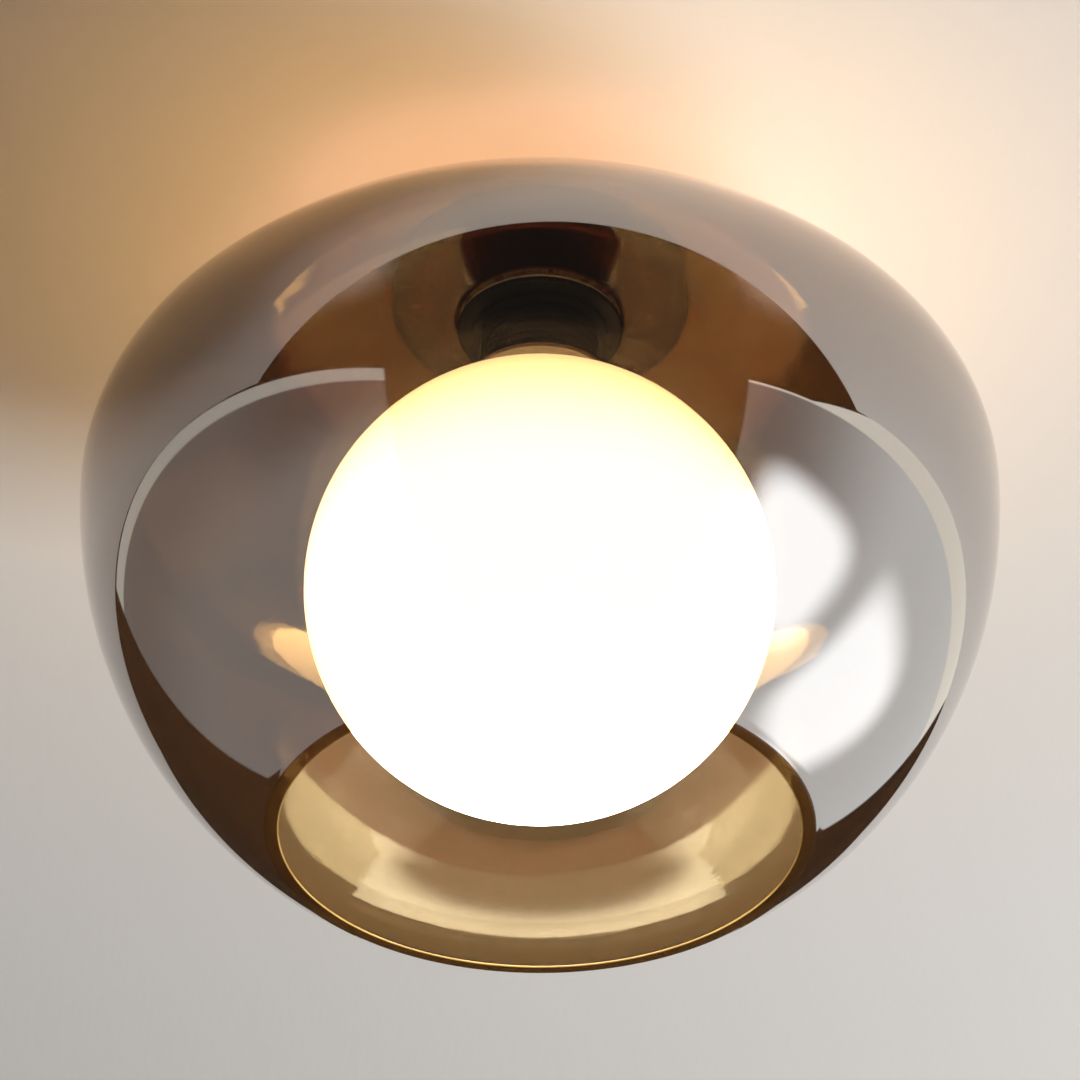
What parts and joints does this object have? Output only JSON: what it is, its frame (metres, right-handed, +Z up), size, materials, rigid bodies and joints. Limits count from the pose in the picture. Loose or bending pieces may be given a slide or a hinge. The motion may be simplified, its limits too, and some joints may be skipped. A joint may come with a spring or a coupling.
{
  "type": "surface mounted ceiling light",
  "caption": "Ceiling light with a wide rounded smoked mirror-glass shade, open below, round a lit opal globe, fixed by a small round canopy.",
  "frame": {"origin": "on the ceiling face, at the lamp's vertical axis, midway between the two ceiling screw slots", "axes": "+Z up into the ceiling, +X towards the right thumb screw, lamp hangs towards -Z"},
  "size_m": [0.3, 0.3, 0.222],
  "materials": {
    "smoked_glass": "gloss, half-mirror coat",
    "opal_glass": "satin opal",
    "canopy_metal": "satin lacquer",
    "zinc_steel": "zinc plated",
    "screw_metal": "satin",
    "holder_black": "moulded, semi gloss",
    "terminal_plastic": "moulded",
    "contact_brass": "bright",
    "contact_ceramic": "glazed",
    "soft_ring": "matt silicone",
    "collar_metal": "satin",
    "lamp_plastic": "moulded",
    "lamp_frost": "frosted",
    "cap_nickel": "rolled",
    "insulator_black": "moulded",
    "wire_brown": "extruded",
    "wire_blue": "extruded",
    "wire_earth": "extruded"
  },
  "bodies": {
    "base": {"mounting_plate": "zinc_steel", "canopy": "canopy_metal", "earth_lug": "contact_brass", "earth_washer": "zinc_steel", "earth_screw": "contact_brass", "terminal_block": "terminal_plastic", "terminal_poles": "contact_brass", "clamp_screws": "zinc_steel", "block_screws": "zinc_steel", "lampholder_skirt": "holder_black", "lampholder_cap": "holder_black", "contact_base": "contact_ceramic", "screw_shell": "contact_brass", "spring_contact": "contact_brass", "wire_posts": "contact_brass", "post_screws": "zinc_steel", "live_wire": "wire_brown", "neutral_wire": "wire_blue", "earth_wire": "wire_earth"},
    "shade": {"shade": "smoked_glass", "upper_gasket": "soft_ring", "lower_gasket": "soft_ring"},
    "shade_ring": {"shade_ring": "holder_black"},
    "globe_washer": {"globe_washer": "soft_ring"},
    "globe": {"globe": "opal_glass", "globe_collar": "collar_metal"},
    "lamp": {"lamp_tip_contact": "contact_brass", "lamp_insulator": "insulator_black", "lamp_cap": "cap_nickel", "lamp_body": "lamp_plastic", "lamp_tube": "lamp_frost"},
    "canopy_washer_right": {"canopy_washer_right": "soft_ring"},
    "canopy_screw_right": {"canopy_screw_right": "screw_metal"},
    "canopy_washer_left": {"canopy_washer_left": "soft_ring"},
    "canopy_screw_left": {"canopy_screw_left": "screw_metal"}
  },
  "joints": [
    {"name": "shade_drop", "type": "slide", "parent": "base", "child": "shade", "axis": [0, 0, -1], "range_m": [0, 0.006]},
    {"name": "shade_ring_turn", "type": "hinge", "parent": "shade", "child": "shade_ring", "pos_m": [0, 0, -0.022], "axis": [0, 0, -1], "range_deg": [0, 720.5]},
    {"name": "globe_drop", "type": "slide", "parent": "base", "child": "globe_washer", "axis": [0, 0, -1], "range_m": [0, 0.006]},
    {"name": "globe_turn", "type": "hinge", "parent": "globe_washer", "child": "globe", "pos_m": [0, 0, -0.05], "axis": [0, 0, -1], "range_deg": [0, 720.5]},
    {"name": "lamp_turn", "type": "hinge", "parent": "base", "child": "lamp", "pos_m": [0, 0, -0.045], "axis": [0, 0, -1], "range_deg": [0, 720]},
    {"name": "screw_right_out", "type": "slide", "parent": "base", "child": "canopy_washer_right", "axis": [1, 0, 0], "range_m": [0, 0.0035]},
    {"name": "screw_right_turn", "type": "hinge", "parent": "canopy_washer_right", "child": "canopy_screw_right", "pos_m": [0.051, 0, -0.008], "axis": [1, 0, 0], "range_deg": [0, 1801]},
    {"name": "screw_left_out", "type": "slide", "parent": "base", "child": "canopy_washer_left", "axis": [-1, 0, 0], "range_m": [0, 0.0035]},
    {"name": "screw_left_turn", "type": "hinge", "parent": "canopy_washer_left", "child": "canopy_screw_left", "pos_m": [-0.051, 0, -0.008], "axis": [-1, 0, 0], "range_deg": [0, 1801]}
  ],
  "couplings": [
    {"joint": "shade_ring_turn", "follows": "shade_drop", "rad_per_m": 2094.4},
    {"joint": "globe_turn", "follows": "globe_drop", "rad_per_m": 2094.4},
    {"joint": "screw_right_turn", "follows": "screw_right_out", "rad_per_m": 8976},
    {"joint": "screw_left_turn", "follows": "screw_left_out", "rad_per_m": 8976}
  ]
}
